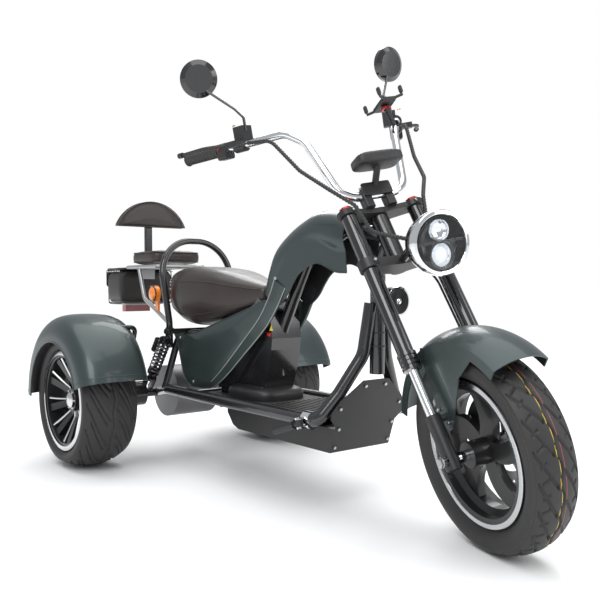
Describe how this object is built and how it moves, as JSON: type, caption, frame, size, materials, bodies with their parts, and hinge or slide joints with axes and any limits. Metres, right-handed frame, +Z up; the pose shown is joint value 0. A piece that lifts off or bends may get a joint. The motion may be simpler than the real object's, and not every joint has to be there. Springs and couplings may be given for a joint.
{
  "type": "electric tricycle",
  "caption": "Electric chopper tricycle with raked fork, high bar, leather saddle, pillion pad, rear bag, ribbed footboard and wide fendered rear wheels.",
  "frame": {"origin": "middle of the overall length and width, on the ground plane under the wheels", "axes": "+X forward, +Y to the rider's left, +Z up"},
  "size_m": [2.0351, 1.022, 1.3633],
  "materials": {
    "frame_black": "gloss black paint",
    "body_green": "satin grey-green paint",
    "horn_black": "black with a bright rim",
    "box_black": "satin black",
    "mat_rubber": "matt ribbed rubber",
    "saddle_leather": "brown-black leather",
    "bag_leather": "black leather",
    "lamp_red": "red lens",
    "lamp_orange": "orange lens",
    "cast_grey": "cast",
    "shock_steel": "bright springs",
    "chrome_bright": "polished",
    "fork_black": "gloss black",
    "cap_red": "red anodised",
    "grip_rubber": "matt",
    "switch_black": "black",
    "lamp_glass": "clear",
    "cable_black": "black sheath",
    "rim_black": "black with machined edges",
    "disc_steel": "brushed",
    "tyre_black": "black"
  },
  "bodies": {
    "chassis": {"frame": "frame_black", "neck_cover": "body_green", "horn": "horn_black", "battery_box": "box_black", "front_plate": "box_black", "footboard": "mat_rubber", "saddle": "saddle_leather", "pillar": "frame_black", "side_panel_right": "body_green", "side_panel_left": "body_green", "grab_hoop": "frame_black", "rack": "frame_black", "pillion_pad": "saddle_leather", "backrest_post": "frame_black", "backrest_pad": "saddle_leather", "rear_bag": "bag_leather", "tail_lamp": "lamp_red", "marker_lamps": "lamp_orange", "rear_axle": "frame_black", "drive_motor": "cast_grey", "rear_shocks": "shock_steel", "rear_fender_right": "body_green", "rear_fender_left": "body_green", "fender_struts": "frame_black", "peg_clamps": "chrome_bright"},
    "steering": {"fork_tubes": "fork_black", "fork_caps": "cap_red", "fork_stanchions": "chrome_bright", "fork_lugs": "fork_black", "front_axle": "chrome_bright", "lower_clamp": "fork_black", "upper_clamp": "fork_black", "handlebar": "chrome_bright", "grips": "grip_rubber", "switchgear": "switch_black", "brake_levers": "switch_black", "mirrors": "switch_black", "display": "switch_black", "phone_holder": "switch_black", "headlight": "switch_black", "headlight_glass": "lamp_glass", "front_caliper": "fork_black", "front_fender": "body_green", "cable_loom_right": "cable_black", "cable_loom_left": "cable_black", "front_brake_hose": "cable_black"},
    "front_wheel": {"front_rim": "rim_black", "front_tyre": "tyre_black", "front_brake_disc": "disc_steel"},
    "rear_wheel_right": {"rear_rim_right": "rim_black", "rear_tyre_right": "tyre_black"},
    "rear_wheel_left": {"rear_rim_left": "rim_black", "rear_tyre_left": "tyre_black"},
    "peg_right": {"foot_peg_right": "fork_black"},
    "peg_left": {"foot_peg_left": "fork_black"}
  },
  "joints": [
    {"name": "steer", "type": "hinge", "parent": "chassis", "child": "steering", "pos_m": [0.4745, 0, 0.7], "axis": [-0.512, 0, 0.859], "range_deg": [-17, 54]},
    {"name": "front_wheel_spin", "type": "hinge", "parent": "steering", "child": "front_wheel", "pos_m": [0.78648, -0.01004, 0.2346], "axis": [0.2754, 0.9472, 0.1642], "continuous": true},
    {"name": "rear_wheel_right_spin", "type": "hinge", "parent": "chassis", "child": "rear_wheel_right", "pos_m": [-0.5881, -0.39, 0.225], "axis": [0, 1, 0], "continuous": true},
    {"name": "rear_wheel_left_spin", "type": "hinge", "parent": "chassis", "child": "rear_wheel_left", "pos_m": [-0.5881, 0.39, 0.225], "axis": [0, 1, 0], "continuous": true},
    {"name": "peg_right_fold", "type": "hinge", "parent": "chassis", "child": "peg_right", "pos_m": [0.3179, -0.186, 0.246], "axis": [-0.3201, 0, 0.9474], "range_deg": [0, 80]},
    {"name": "peg_left_fold", "type": "hinge", "parent": "chassis", "child": "peg_left", "pos_m": [0.3179, 0.186, 0.246], "axis": [-0.3201, 0, 0.9474], "range_deg": [-80, 0]}
  ]
}
